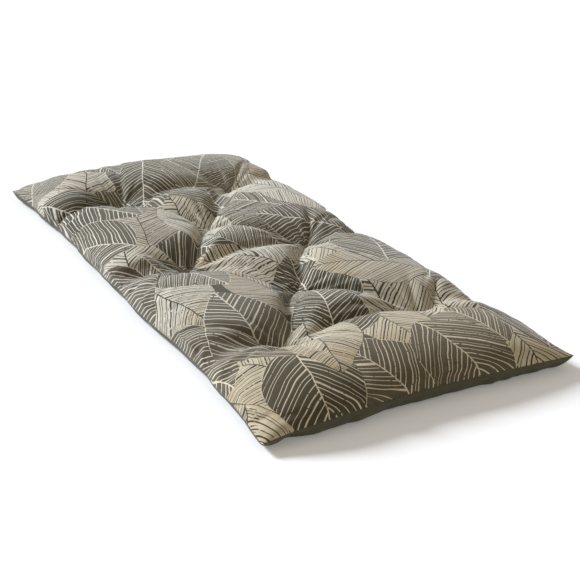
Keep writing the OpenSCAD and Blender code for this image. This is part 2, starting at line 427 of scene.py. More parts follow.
def makeTopSurface():
    u, v = clothGrid(cut["topColumns"])
    x, y = topPlan(u, v)
    drawn = stuffedShape(x, y)[0]
    goal = drawn.copy()
    held = gatherAtTies(u, v, goal, mattress["tuftTop"])
    cloth = simulatePanel(u, v, goal, held, True, topCloth)
    rounds = int(2 * (finish["lumpReach"] * (u.shape[0] - 1) / mattress["width"]) ** 2)
    off = cloth[..., 2] - goal[..., 2]
    near = fade(toValleys(x, y), finish["calmReach"])
    keep = finish["calmFolds"] + (1 - finish["calmFolds"]) * near
    valley = drawn[..., 2] - stuffedShape(x, y, 0)[0][..., 2]
    cloth[..., 2] = goal[..., 2] + (off - blurred(off, rounds)) * keep
    cloth[..., 2] += (valley - blurred(valley, rounds)) * keep * finish["valleyCrisp"]
    edge = np.minimum(mattress["width"] / 2 - abs(x), mattress["length"] / 2 - abs(y))
    mix = smoothStep(edge / finish["seamBlend"])[..., None]
    cloth = drawn * (1 - mix) + cloth * mix
    soft = blurred(cloth, 1)
    soft[rimOf(u.shape)] = cloth[rimOf(u.shape)]
    u, v, soft = finer(u), finer(v), finer(soft)
    soft[..., 2] += pinchFolds(*topPlan(u, v))
    for t in ties:
        # down to the stitch, wherever the folds have left the cloth above or below it
        away = np.hypot(soft[..., 0] - t["place"][0], soft[..., 1] - t["place"][1])
        gap = soft[..., 2][away < finish["stitchReach"] / 2].mean() - mattress["tuftTop"]
        soft[..., 2] -= gap * fade(away, finish["stitchReach"])
    return u, v, soft


def marginLines(half):
    # cloth lines from seam to seam, close together along the margins
    margin = np.arange(0, cut["margin"], cut["marginStep"])
    inner = half - cut["margin"]
    middle = np.linspace(-half + cut["margin"], inner, int(round(2 * inner / cut["middleStep"])) + 1)
    return np.concatenate([margin - half, middle, (half - margin)[::-1]])


def sampleGrid(field, u, v, atU, atV):
    # bilinear values of an evenly spaced grid at other cloth places
    fu = (atU - u[0, 0]) / (u[-1, 0] - u[0, 0]) * (u.shape[0] - 1)
    fv = (atV - v[0, 0]) / (v[0, -1] - v[0, 0]) * (u.shape[1] - 1)
    i = np.clip(fu.astype(int), 0, u.shape[0] - 2)
    j = np.clip(fv.astype(int), 0, u.shape[1] - 2)
    a, b = (fu - i)[..., None], (fv - j)[..., None]
    first = (1 - b) * field[i, j] + b * field[i, j + 1]
    second = (1 - b) * field[i + 1, j] + b * field[i + 1, j + 1]
    return (1 - a) * first + a * second


puckers = dict(
    count=110,
    onSides=0.66,          # share of them on the long sides
    depth=0.0038,
    sideDepth=0.0014,
    depthRange=(0.3, 1.5),
    ways=[1, 1, -0.6],     # two in three go in, the rest bulge out a little
    width=0.012,
    widthRange=(0.5, 2.2),
    span=(0.57, 0.27),     # half the length that they cover, on a side and on an end
    start=0.002,           # from the seam in to where they begin
    margin=0.03,           # where the cloth stands upright enough for them
    end=1.3,               # in margins; they fade over the last one
    seed=3,
)


def seamPuckers(x, y):
    # small upright gathers in the margin below the seam, where the stitching draws it up
    p = puckers
    rng = np.random.default_rng(p["seed"])
    inset = np.zeros_like(x)
    for k in range(p["count"]):
        onSide = rng.uniform() < p["onSides"]
        depth = p["sideDepth" if onSide else "depth"]
        depth = depth * rng.uniform(*p["depthRange"]) * rng.choice(p["ways"])
        width = p["width"] * rng.uniform(*p["widthRange"])
        way = rng.choice([-1, 1])
        if onSide:
            along, across, half, span = y, x, mattress["width"] / 2, p["span"][0]
        else:
            along, across, half, span = x, y, mattress["length"] / 2, p["span"][1]
        dent = fade(along - rng.uniform(-span, span), width) * (np.sign(across) == way)
        inset += depth * (dent * share(p["end"] - (half - abs(across)) / p["margin"]))
    return inset


def makeBaseSurface():
    coarseU, coarseV = clothGrid(cut["baseColumns"])
    u, v = np.meshgrid(marginLines(cut["width"] / 2), marginLines(cut["length"] / 2), indexing="ij")
    x, y = underPlan(u, v)
    drawn = stuffedShape(x, y)[1]
    halfW, halfL = mattress["width"] / 2, mattress["length"] / 2
    edge = np.minimum(halfW - abs(x), halfL - abs(y))
    margin, start = puckers["margin"], puckers["start"]
    inward = (seamPuckers(x, y) * smoothStep(edge / start))[..., None]
    inMargin = np.stack([abs(x) > halfW - margin, abs(y) > halfL - margin], -1)
    drawn[..., :2] -= inward * np.sign(drawn[..., :2]) * inMargin
    goal = stuffedShape(*underPlan(coarseU, coarseV))[1]
    flat = goal.copy()
    held = gatherAtTies(coarseU, coarseV, goal, mattress["tuftBase"])
    cloth = simulatePanel(coarseU, coarseV, goal, held, False, baseCloth)
    mix = smoothStep((edge - cut["rollKept"]) / cut["rollBlend"])[..., None]
    places = drawn + mix * sampleGrid(cloth - flat, coarseU, coarseV, u, v)
    places[..., 2] = np.maximum(places[..., 2], mattress["leastGap"])
    return u, v, places


topU, topV, topPlaces = makeTopSurface()
print("top cloth settled")
baseU, baseV, basePlaces = makeBaseSurface()
print("base cloth settled")


def baseHeights(u, v):
    # height of the base cloth beneath each point of the top cloth
    x, y = topPlan(u, v)
    baseX, baseY = underPlan(baseU, baseV)
    heights = basePlaces[..., 2]
    wide = np.stack([np.interp(x[:, 0], a, b) for a, b in zip(baseX.T, heights.T)], 1)
    return np.stack([np.interp(y[0], baseY[0], row) for row in wide])


# ---- colours and materials ----


def hexColour(code):
    # sRGB hex to the linear values that Blender's sockets take
    parts = [int(code[i:i + 2], 16) / 255 for i in (1, 3, 5)]
    return [p / 12.92 if p <= 0.04045 else ((p + 0.055) / 1.055) ** 2.4 for p in parts] + [1]


def wire(tree, node, wires):
    # each input is set to a value or linked to a socket
    for name, value in wires.items():
        if isinstance(value, bpy.types.NodeSocket):
            tree.links.new(value, node.inputs[name])
        else:
            node.inputs[name].default_value = value


def addNode(tree, kind, wires=None, **settings):
    # one node, with its settings and its inputs
    node = tree.nodes.new(kind)
    for name, value in settings.items():
        setattr(node, name, value)
    wire(tree, node, wires or {})
    return node


def addChain(tree, kind, known, rows):
    # nodes that follow one another: result, operation, then terms by name or as numbers
    for name, operation, *terms in rows:
        wires = {i: known.get(t, t) if isinstance(t, str) else t for i, t in enumerate(terms)}
        known[name] = addNode(tree, kind, wires, operation=operation).outputs[0]
    return known


def newMaterial(name):
    material = bpy.data.materials.new(name)
    material.use_nodes = True
    return material, material.node_tree, material.node_tree.nodes["Principled BSDF"]


leafPrint = dict(
    halfLength=0.128,
    halfWidth=0.086,
    veinPitch=0.0112,      # between side veins where they leave the midrib
    veinSpread=0.40,       # how much closer they stand on some leaves
    veinWidth=0.00175,
    sweep=0.52,            # how far forward a side vein leans as it leaves the midrib
    curl=0.14,             # and how much more by the edge
    rows=10,
    columns=5,
    pitch=(0.140, 0.134),  # between leaves, across and along
    jitter=0.02,
    turns=[80, 115, 60, -100, -70, 140],   # in degrees
    turnJitter=14,
    sizes=(0.86, 1.12),
    morePale=0.12,         # share of the other leaves that are pale as well
    darkOnTop=0.45,        # how much likelier a dark leaf is to lie over a pale one
    paleTones=(0.52, 0.98),
    darkTones=(0.02, 0.48),
    seed=11,
)


def leafLayout():
    # overlapping leaves on a loose grid, the same each run: place, turn, size, tone
    p = leafPrint
    rng = np.random.default_rng(p["seed"])
    leaves = []
    for i in range(p["rows"]):
        for j in range(p["columns"]):
            column = j + 0.5 * (i % 2) - 0.25 - (p["columns"] - 1) / 2
            x = column * p["pitch"][0] + rng.uniform(-p["jitter"], p["jitter"])
            y = (i - (p["rows"] - 1) / 2) * p["pitch"][1] + rng.uniform(-p["jitter"], p["jitter"])
            turn = rng.choice(p["turns"]) + rng.uniform(-p["turnJitter"], p["turnJitter"])
            size = rng.uniform(*p["sizes"])
            pale = (i + 2 * j) % 5 in (0, 3) or rng.uniform() < p["morePale"]
            tone = rng.uniform(*p["paleTones" if pale else "darkTones"])
            order = rng.uniform() + (0 if pale else p["darkOnTop"])
            leaves.append(dict(
                place=(x, y, 0), turn=math.radians(turn), size=size, tone=tone, order=order,
            ))
    return sorted(leaves, key=lambda leaf: leaf["order"])


# Half width of a leaf at each place along it: round at the stalk, drawn out at the tip
leafEdgeSums = [
    ("alongSquare", "MULTIPLY", "along", "along"),
    ("room", "SUBTRACT", 1.0, "alongSquare"),
    ("roomLeft", "MAXIMUM", "room", 0.0),
    ("swell", "POWER", "roomLeft", 0.78),
    ("lean", "MULTIPLY_ADD", "along", -0.30, 1.0),
    ("edge", "MULTIPLY", "swell", "lean"),
    ("aside", "ABSOLUTE", "across"),
]


def leafGroup():
    # lays one leaf over what is already there; the vector carries along, across and tone
    group = bpy.data.node_groups.new("one leaf", "ShaderNodeTree")
    for name in ("Cloth", "Behind", "Place", "Turn", "Size", "Tone"):
        kind = "NodeSocketFloat" if name == "Tone" else "NodeSocketVector"
        group.interface.new_socket(name, in_out="INPUT", socket_type=kind)
    group.interface.new_socket("Front", in_out="OUTPUT", socket_type="NodeSocketVector")
    given = addNode(group, "NodeGroupInput").outputs
    # a millionth of the result so far makes the leaves wait their turn, which spares memory
    inTurn = addNode(group, "ShaderNodeVectorMath", {
        0: given["Behind"], 1: (1e-6, 1e-6, 0), 2: given["Cloth"],
    }, operation="MULTIPLY_ADD")
    local = addNode(group, "ShaderNodeMapping", {
        "Vector": inTurn.outputs[0], "Location": given["Place"],
        "Rotation": given["Turn"], "Scale": given["Size"],
    }, vector_type="TEXTURE")
    axes = addNode(group, "ShaderNodeSeparateXYZ", {0: local.outputs[0]}).outputs
    known = addChain(group, "ShaderNodeMath", {"along": axes[0], "across": axes[1]}, leafEdgeSums + [
        ("inside", "LESS_THAN", "aside", "edge"),
    ])
    leaf = addNode(group, "ShaderNodeCombineXYZ", {0: known["along"], 1: known["across"], 2: given["Tone"]})
    front = addNode(group, "ShaderNodeMix", {
        "Factor": known["inside"], 4: given["Behind"], 5: leaf.outputs[0],
    }, data_type="VECTOR")
    addNode(group, "NodeGroupOutput", {0: front.outputs[1]})
    return group


def layLeaves(tree, cloth):
    # the front leaf at each place of the cloth, its outline a little wandering as if drawn by hand
    wander = addNode(tree, "ShaderNodeTexNoise", {"Vector": cloth, "Scale": 16, "Detail": 1})
    drawn = addChain(tree, "ShaderNodeVectorMath", {"cloth": cloth, "wander": wander.outputs["Color"]}, [
        ("offCentre", "SUBTRACT", "wander", (0.5, 0.5, 0.5)),
        ("drawn", "MULTIPLY_ADD", "offCentre", (0.010, 0.010, 0.0), "cloth"),
    ])["drawn"]
    front = addNode(tree, "ShaderNodeCombineXYZ", {0: 0.0, 1: 0.0, 2: -1.0}).outputs[0]
    group = leafGroup()
    for leaf in leafLayout():
        halves = leaf["size"] * leafPrint["halfLength"], leaf["size"] * leafPrint["halfWidth"]
        node = addNode(tree, "ShaderNodeGroup", node_tree=group)
        wire(tree, node, {
            "Cloth": drawn, "Behind": front, "Place": leaf["place"], "Turn": (0, 0, leaf["turn"]),
            "Size": (*halves, 1), "Tone": leaf["tone"],
        })
        front = node.outputs[0]
    return addNode(tree, "ShaderNodeSeparateXYZ", {0: front}).outputs


def drawLines(tree, cloth, leaf):
    # the lines of the front leaf: veins, midrib, outline and loose strokes
    p = leafPrint
    perLeaf = p["halfLength"] / p["veinPitch"]
    lineWidths = p["halfWidth"] / p["veinWidth"]
    known = {"along": leaf[0], "across": leaf[1], "tone": leaf[2]}
    for name, scale in (("breaks", 150), ("patches", 11)):
        noise = addNode(tree, "ShaderNodeTexNoise", {"Vector": cloth, "Scale": scale, "Detail": 1})
        known[name] = noise.outputs["Fac"]
    addChain(tree, "ShaderNodeMath", known, leafEdgeSums + [
        ("isLeaf", "GREATER_THAN", "tone", 0.0),
        ("isDark", "LESS_THAN", "tone", 0.5),
        ("isPale", "GREATER_THAN", "tone", 0.5),
        # side veins: lines of equal start along the midrib, swept forward
        ("curl", "MULTIPLY_ADD", "aside", p["curl"], p["sweep"]),
        ("forward", "MULTIPLY", "aside", "curl"),
        ("startsAt", "SUBTRACT", "along", "forward"),
        ("otherSide", "GREATER_THAN", "across", 0.0),
        ("spun", "MULTIPLY", "tone", 37.0),
        ("kind", "FRACT", "spun"),
        ("veinsEach", "MULTIPLY_ADD", "kind", p["veinSpread"] * perLeaf, 0.85 * perLeaf),
        ("veinCount", "MULTIPLY", "startsAt", "veinsEach"),
        ("ownStart", "MULTIPLY_ADD", "spun", 9.0, "veinCount"),
    ])
    # drawn by hand, so the spacing of the veins drifts and the ground is brushed on along them
    for name, scale, detail in (("drift", 0.8, 0), ("brushed", 2.6, 2)):
        known[name] = addNode(tree, "ShaderNodeTexNoise", {
            "W": known["ownStart"], "Scale": scale, "Detail": detail,
        }, noise_dimensions="1D").outputs["Fac"]
    addChain(tree, "ShaderNodeMath", known, [
        ("drifted", "MULTIPLY_ADD", "drift", 0.9, "veinCount"),
        ("veinPlace", "MULTIPLY_ADD", "otherSide", 0.5, "drifted"),
        ("toNearest", "PINGPONG", "veinPlace", 0.5),
        ("bold", "MULTIPLY_ADD", "isPale", 0.45, 1.25),
        ("taper", "MULTIPLY_ADD", "aside", -0.40, "bold"),
        ("toVein", "DIVIDE", "toNearest", "taper"),
        ("toMidrib", "MULTIPLY", "aside", lineWidths),
        ("gap", "SUBTRACT", "edge", "aside"),
        ("toEdge", "MULTIPLY", "gap", lineWidths),
        # short strokes between the veins of the loosely drawn pale leaves
        ("halfStep", "ADD", "veinPlace", 0.5),
        ("toStroke", "PINGPONG", "halfStep", 0.5),
        ("strokeRow", "FLOOR", "halfStep"),
        ("strokeShift", "MULTIPLY", "strokeRow", 0.37),
        ("strokeBeat", "MULTIPLY_ADD", "aside", 4.0, "strokeShift"),
        ("strokeGap", "PINGPONG", "strokeBeat", 0.5),
        ("strokeOn", "GREATER_THAN", "strokeGap", 0.17),
        ("loose", "LESS_THAN", "kind", 0.5),
        ("dense", "GREATER_THAN", "kind", 0.7),
        ("shaded", "GREATER_THAN", "patches", 0.46),
        ("hatched", "MULTIPLY", "loose", "shaded"),
    ])
    half = p["veinWidth"] / p["veinPitch"] / 2
    # each line fades from full to nothing between these distances; wear does the opposite
    for name, distance, near, far in (
        ("vein", "toVein", half * 0.8, half * 1.35),
        ("stroke", "toStroke", half * 0.75, half * 1.25),
        ("fine", "toStroke", half * 0.3, half * 0.7),
        ("midrib", "toMidrib", 0.55, 0.85),
        ("outline", "toEdge", 0.55, 0.85),
        ("worn", "breaks", 0.30, 0.36),
    ):
        known[name] = addNode(tree, "ShaderNodeMapRange", {
            "Value": known[distance], "From Min": near, "From Max": far,
            "To Min": int(name != "worn"), "To Max": int(name == "worn"),
        }, interpolation_type="SMOOTHSTEP").outputs[0]
    return addChain(tree, "ShaderNodeMath", known, [
        ("strokes", "MULTIPLY", "stroke", "strokeOn"),
        ("strokesHere", "MULTIPLY", "strokes", "hatched"),
        ("paleStrokes", "MULTIPLY", "strokesHere", "isPale"),
        ("fineDense", "MULTIPLY", "fine", "dense"),
        ("fineHere", "MULTIPLY", "fineDense", "isDark"),
        ("veins", "MAXIMUM", "vein", "fineHere"),
        ("ribs", "MAXIMUM", "veins", "midrib"),
        ("outlineHere", "MULTIPLY", "outline", "shaded"),
        ("drawing", "MAXIMUM", "ribs", "outlineHere"),
        ("allLines", "MAXIMUM", "drawing", "paleStrokes"),
        ("wornLines", "MULTIPLY", "allLines", "worn"),
        ("line", "MULTIPLY", "wornLines", "isLeaf"),
    ])


inkColours = dict(
    # the cloth between the leaves, four dark leaves and four pale ones, by tone
    grounds=[
        (0, "#46422f"),
        (0.01, "#55503c"), (0.12, "#645d4c"), (0.24, "#4b4634"), (0.36, "#5d5645"),
        (0.5, "#c1b9a6"), (0.62, "#ccc5b2"), (0.74, "#b7ad98"), (0.86, "#c5bda8"),
    ],
    lines=[(0, "#dbd4c3"), (0.5, "#373429")],   # pale on dark, dark on pale
    ochre="#a98b50",
    paintedFootShade="#f7eedd",        # painted warm shade: multiplies the whole print towards the foot, the end turned away from the light
)


def colourLeaves(tree, cloth, known):
    ramps = []
    for stops in (inkColours["grounds"], inkColours["lines"]):
        ramp = addNode(tree, "ShaderNodeValToRGB", {"Fac": known["tone"]})
        ramp.color_ramp.interpolation = "CONSTANT"
        ramp.color_ramp.elements.remove(ramp.color_ramp.elements[1])
        ramp.color_ramp.elements[0].color = hexColour(stops[0][1])
        for place, code in stops[1:]:
            ramp.color_ramp.elements.new(place).color = hexColour(code)
        ramps.append(ramp.outputs[0])
    # ochre washed over the outer end of the pale leaves
    known["wash"] = addNode(tree, "ShaderNodeMapRange", {
        "Value": known["along"], "From Min": 0.0, "From Max": 0.85, "To Max": 0.65,
    }, interpolation_type="SMOOTHSTEP").outputs[0]
    addChain(tree, "ShaderNodeMath", known, [
        ("washOnPale", "MULTIPLY", "wash", "isPale"),
        ("uneven", "MULTIPLY_ADD", "patches", 1.6, -0.3),
        ("ochre", "MULTIPLY", "washOnPale", "uneven"),
    ])
    washed = addNode(tree, "ShaderNodeMix", {
        "Factor": known["ochre"], 6: ramps[0], 7: hexColour(inkColours["ochre"]),
    }, data_type="RGBA").outputs[2]
    strokes = addNode(tree, "ShaderNodeMapRange", {
        "Value": known["brushed"], "From Min": 0.25, "From Max": 0.75, "To Min": 0.84, "To Max": 1.16,
    }).outputs[0]
    ground = addNode(tree, "ShaderNodeVectorMath", {0: washed, 3: strokes}, operation="SCALE").outputs[0]
    inked = addNode(tree, "ShaderNodeMix", {
        "Factor": known["line"], 6: ground, 7: ramps[1],
    }, data_type="RGBA").outputs[2]
    # painted warm shade: the whole print turns olive and tan towards the foot of the mattress, the end
    # turned away from the light
    alongCloth = addNode(tree, "ShaderNodeSeparateXYZ", {0: cloth}).outputs[1]
    paintedFootShade = addNode(tree, "ShaderNodeMapRange", {
        "Value": alongCloth, "From Min": -0.25, "From Max": -0.58,
    }, interpolation_type="SMOOTHSTEP").outputs[0]
    return addNode(tree, "ShaderNodeMix", {
        "Factor": paintedFootShade, 6: inked, 7: hexColour(inkColours["paintedFootShade"]),
    }, data_type="RGBA", blend_type="MULTIPLY").outputs[2]


canvas = dict(
    pitch=0.0011,          # two yarns of a half-panama weave, coarse enough to show
    relief=0.30,
    yarnDepth=0.0006,
    slubLength=60,         # slubs of 10 to 20 mm along the yarn, as noise scale
)


def yarnStreaks(tree, cloth, across, contrast):
    # thicker and thinner yarns, along warp and weft; this many noise cells per metre across them
    known = {"cloth": cloth}
    along = canvas["slubLength"]
    for name, stretch in (("warp", (along, across, 1)), ("weft", (across, along, 1))):
        addChain(tree, "ShaderNodeVectorMath", known, [("spread", "MULTIPLY", "cloth", stretch)])
        noise = addNode(tree, "ShaderNodeTexNoise", {"Vector": known["spread"], "Scale": 1, "Detail": 1})
        known[name] = noise.outputs["Fac"]
    return addChain(tree, "ShaderNodeMath", known, [
        ("both", "ADD", "warp", "weft"),
        ("slub", "MULTIPLY_ADD", "both", contrast, 1 - contrast),
    ])["slub"]


def weave(tree, shader, cloth, dyed, slub, sheen, sheenRoughness):
    # plain weave: yarns pass over and under each other, and thick yarns are smoother
    turns = 2 * math.pi / canvas["pitch"]
    axes = addNode(tree, "ShaderNodeSeparateXYZ", {0: cloth}).outputs
    known = addChain(tree, "ShaderNodeMath", {"u": axes[0], "v": axes[1], "slub": slub}, [
        ("warpTurn", "MULTIPLY", "u", turns),
        ("weftTurn", "MULTIPLY", "v", turns),
        ("warp", "SINE", "warpTurn"),
        ("weft", "SINE", "weftTurn"),
        ("crossing", "MULTIPLY", "warp", "weft"),
        ("height", "MULTIPLY_ADD", "crossing", 0.35, "slub"),
        ("rough", "MULTIPLY_ADD", "slub", -0.35, 1.2),
    ])
    bump = addNode(tree, "ShaderNodeBump", {
        "Strength": canvas["relief"], "Distance": canvas["yarnDepth"], "Height": known["height"],
    })
    colour = addNode(tree, "ShaderNodeVectorMath", {0: dyed, 3: slub}, operation="SCALE")
    wire(tree, shader, {
        "Base Color": colour.outputs[0], "Normal": bump.outputs[0], "Roughness": known["rough"],
        "Sheen Weight": sheen, "Sheen Roughness": sheenRoughness, "Specular IOR Level": 0.25,
    })


def printedCanvas():
    # Cotton half-panama canvas, screen printed: matt, a little slubby, ink sunk into the yarns.
    # To the eye it is flat colour with crisp drawn lines, broken by thicker and thinner yarns.
    material, tree, shader = newMaterial("printed canvas")
    cloth = addNode(tree, "ShaderNodeUVMap", uv_map="cloth").outputs[0]
    known = drawLines(tree, cloth, layLeaves(tree, cloth))
    inked = colourLeaves(tree, cloth, known)
    weave(tree, shader, cloth, inked, yarnStreaks(tree, cloth, 1100, 0.42), 0.22, 0.45)
    return material


def plainCanvas():
    # The same canvas, piece dyed and unprinted: an even dark olive, lighter where the yarns are thin.
    material, tree, shader = newMaterial("plain canvas")
    cloth = addNode(tree, "ShaderNodeUVMap", uv_map="cloth").outputs[0]
    noise = addNode(tree, "ShaderNodeTexNoise", {"Vector": cloth, "Scale": 25, "Detail": 1})
    known = addChain(tree, "ShaderNodeMath", {"dye": noise.outputs["Fac"]}, [
        ("tone", "MULTIPLY_ADD", "dye", 0.5, 0.25),
    ])
    dyed = addNode(tree, "ShaderNodeMix", {
        "Factor": known["tone"], 6: hexColour("#4a4933"), 7: hexColour("#5a5842"),
    }, data_type="RGBA").outputs[2]
    weave(tree, shader, cloth, dyed, yarnStreaks(tree, cloth, 900, 0.5), 0.12, 0.5)
    return material


def fibrous(name, shades, tangle, bump, roughness, gloss):
    # one noise gives what a mass of fibres has: its colour, its relief and its roughness
    material, tree, shader = newMaterial(name)
    place = addNode(tree, "ShaderNodeTexCoord").outputs["Object"]
    noise = addNode(tree, "ShaderNodeTexNoise", {"Vector": place, "Roughness": 0.7, **tangle})
    fibres = noise.outputs["Fac"]
    dark, light = hexColour(shades[0]), hexColour(shades[1])
    colour = addNode(tree, "ShaderNodeMix", {"Factor": fibres, 6: dark, 7: light}, data_type="RGBA")
    relief = addNode(tree, "ShaderNodeBump", {"Height": fibres, **bump})
    rough = addNode(tree, "ShaderNodeMapRange", {"Value": fibres, **roughness})
    wire(tree, shader, {
        "Base Color": colour.outputs[2], "Normal": relief.outputs[0],
        "Roughness": rough.outputs[0], **gloss,
    })
    return material


def fibreFill(name, shades, fibre):
    # Carded fibre: matt, off white, a tangle of fibres that shows as soft mottling.
    return fibrous(
        name, shades, {"Scale": 1 / fibre, "Detail": 6, "Distortion": 1.5},
        {"Strength": 0.5, "Distance": 0.002}, {"To Min": 0.85, "To Max": 1.0},
        {"Sheen Weight": 0.2, "Specular IOR Level": 0.2},
    )


def spunYarn(name, shades, hair):
    # Spun and dyed cotton: matt, with fine hairs. The twine's twist is in its mesh, and the
    # thread's is too fine to show.
    return fibrous(
        name, shades, {"Scale": 1 / hair, "Detail": 4},
        {"Strength": 0.4, "Distance": 0.0002}, {"To Min": 0.65, "To Max": 0.9},
        {"Specular IOR Level": 0.3},
    )


printed = printedCanvas()
plain = plainCanvas()
cottonWadding = fibreFill("cotton wadding", ("#ddd6c4", "#f0ebdf"), 0.004)
feltedFibre = fibreFill("felted fibre", ("#c4bba6", "#ded6c5"), 0.003)
sewingThread = spunYarn("sewing thread", ("#57544b", "#6f6b60"), 0.0004)
tuftingTwine = spunYarn("tufting twine", ("#5f5b52", "#7d786d"), 0.0005)
print("materials made")

# ---- the pieces ----


def addPiece(name, points, faces, material, node):
    mesh = bpy.data.meshes.new(name)
    mesh.from_pydata(points.reshape(-1, 3).tolist(), [], faces)
    mesh.materials.append(material)
    mesh.polygons.foreach_set("use_smooth", [True] * len(mesh.polygons))
    piece = bpy.data.objects.new(name, mesh)
    scene.collection.objects.link(piece)
    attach(piece, "root")
    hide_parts(node)
    return piece


panel = dict(thickness=0.0012)


def addPanel(name, u, v, places, upward, material, node):
    piece = addPiece(name, places, gridFaces(*u.shape, upward).tolist(), material, node)
    mesh = piece.data
    layer = mesh.uv_layers.new(name="cloth")
    corners = np.zeros(len(mesh.loops), int)
    mesh.loops.foreach_get("vertex_index", corners)
    flat = np.stack([u.ravel(), v.ravel()], -1)[corners]
    layer.uv.foreach_set("vector", flat.astype(np.float32).ravel())
    thicker = piece.modifiers.new("thickness", "SOLIDIFY")
    thicker.thickness = panel["thickness"]
    thicker.offset = -1
    return piece


topPanel = addPanel("topPanel", topU, topV, topPlaces, True, printed, "top_panel")
basePanel = addPanel("basePanel", baseU, baseV, basePlaces, False, plain, "base_panel")
print("panels made")


def lowestNear(field, reach):
    # the lowest value within this many squares
    nu, nv = field.shape
    for step in range(reach):
        p = np.pad(field, 1, mode="edge")
        field = np.minimum.reduce([p[i:i + nu, j:j + nv] for i in range(3) for j in range(3)])
    return field


filling = dict(
    step=8,                # one point in so many of the top cloth's
    setBack=8,             # cloth squares left empty along the seam
    spread=8,              # squares over which a tie presses it
    topShare=0.21,         # the waddings' shares of the thickness
    baseShare=0.165,
    clear=0.0022,          # gap to the cloth
    thinnest=0.004,        # and each of them where a tie presses hardest
)


def addFilling():
    # three layers between the panels, thinner wherever a tie or the edge presses them
    f = filling
    plan = stuffedShape(*topPlan(topU, topV))[1][..., :2]
    upper = lowestNear(topPlaces[..., 2], f["spread"]) - f["clear"]
    lower = -lowestNear(-baseHeights(topU, topV), f["spread"]) + f["clear"]
    pick = slice(f["setBack"], -f["setBack"], f["step"])
    plan, upper, lower = plan[pick, pick], upper[pick, pick], lower[pick, pick]
    lower = np.minimum(lower, upper - f["thinnest"])
    tall = upper - lower
    levels = [upper, upper - f["topShare"] * tall, lower + f["baseShare"] * tall, lower]
    nu, nv = upper.shape
    n = np.arange(nu * nv).reshape(nu, nv)
    loop = np.concatenate([n[:-1, 0], n[-1, :-1], n[:0:-1, -1], n[0, :0:-1]])
    follow = np.roll(loop, -1)
    count = nu * nv
    walls = np.stack([loop, follow, follow + count, loop + count], -1)[:, ::-1]
    faces = np.concatenate([gridFaces(nu, nv), gridFaces(nu, nv, False) + count, walls]).tolist()
    for k, (name, node, slot, material) in enumerate((
        ("topWadding", "top_wadding", "cotton_wadding", cottonWadding),
        ("fillingCore", "filling_core", "felted_fibre", feltedFibre),
        ("baseWadding", "base_wadding", "cotton_wadding", cottonWadding),
    )):
        points = np.stack([np.dstack([plan, levels[k]]), np.dstack([plan, levels[k + 1]])])
        piece = addPiece(name, points, faces, material, node)


addFilling()
print("filling made")


def unitRows(rows):
    return rows / np.linalg.norm(rows, axis=1)[:, None]


def pathFrames(ahead, side):
    # a sideways and an upward direction at each point of a path, carried along without twist
    sides, ups = [], []
    for direction in ahead:
        side = side - direction * side.dot(direction)
        side /= np.linalg.norm(side)
        sides.append(side)
        ups.append(np.cross(direction, side))
    return np.array(sides), np.array(ups)


def sweepTube(path, radius, sides=8, closed=False):
    # points and faces of a round tube along a path
    path = np.asarray(path, float)
    count = len(path)
    ahead = unitRows(np.roll(path, -1, 0) - np.roll(path, 1, 0) if closed else np.gradient(path, axis=0))
    across, up = pathFrames(ahead, np.cross(ahead[0], (0, 0, 1) if abs(ahead[0][2]) < 0.9 else (1, 0, 0)))
    angles = (np.arange(sides) * 2 * math.pi / sides)[:, None]
    rings = [p + radius * (np.cos(angles) * a + np.sin(angles) * b) for p, a, b in zip(path, across, up)]
    faces = []
    for i in range(count if closed else count - 1):
        here, there = i * sides, (i + 1) % count * sides
        for k in range(sides):
            l = (k + 1) % sides
            faces.append([here + k, here + l, there + l, there + k])
    if not closed:
        faces.append(list(range(sides))[::-1])
        faces.append(list(range((count - 1) * sides, count * sides)))
    return np.concatenate(rings), faces


def addYarns(name, parts, material, node):
    # one piece of several tubes
    points, faces, offset = [], [], 0
    for some, more in parts:
        points.append(some)
        faces += [[index + offset for index in face] for face in more]
        offset += len(some)
    return addPiece(name, np.concatenate(points), faces, material, node)


def lengthsAlong(path):
    return np.concatenate([[0], np.cumsum(np.linalg.norm(np.diff(path, axis=0), axis=1))])


def resampled(path, step, closed=False):
    path = np.asarray(path, float)
    if closed:
        path = np.concatenate([path, path[:1]])
    along = lengthsAlong(path)
    at = np.linspace(0, along[-1], int(along[-1] / step) + 1)
    out = np.stack([np.interp(at, along, path[:, k]) for k in range(3)], 1)
    return out[:-1] if closed else out


seam = dict(
    threadRadius=0.0005,
    inset=0.0026,          # lockstitch from the edge of the cloth
    sunk=0.0006,
    stitch=0.0032,
    wave=0.6,              # its rise and dip, as a share of the thread's radius
    closingLength=0.24,    # hand-sewn opening at the near end
    closingPitch=0.010,
    lean=0.0022,
    bite=(0.0020, 0.0026), # of a hand stitch, into the top and into the base
    clear=(0.0002, 0.0003, 0.0010),   # and how far it stands off them, and off the seam
)


def addSeamThread():
    # lockstitch just inside the seam; it rises and dips once in each stitch, of four points
    t = topPlaces
    line = np.concatenate([t[:-1, 0], t[-1, :-1], t[:0:-1, -1], t[0, :0:-1]])
    ahead = np.roll(line, -1, 0) - np.roll(line, 1, 0)
    inward = np.stack([-ahead[:, 1], ahead[:, 0]], 1) / np.linalg.norm(ahead[:, :2], axis=1)[:, None]
    line = line + np.column_stack([inward * seam["inset"], np.full(len(line), -seam["sunk"])])
    line = resampled(line, seam["stitch"] / 4, closed=True)
    line[:, 2] += seam["threadRadius"] * seam["wave"] * np.sin(np.arange(len(line)) * math.pi / 2)
    thread = sweepTube(line, seam["threadRadius"], 6, closed=True)
    addYarns("seamThread", [thread], sewingThread, "perimeter_thread")


def atWidth(line, x):
    # the point of a line along the end, at this place across it
    return np.array([x, np.interp(x, line[:, 0], line[:, 1]), np.interp(x, line[:, 0], line[:, 2])])


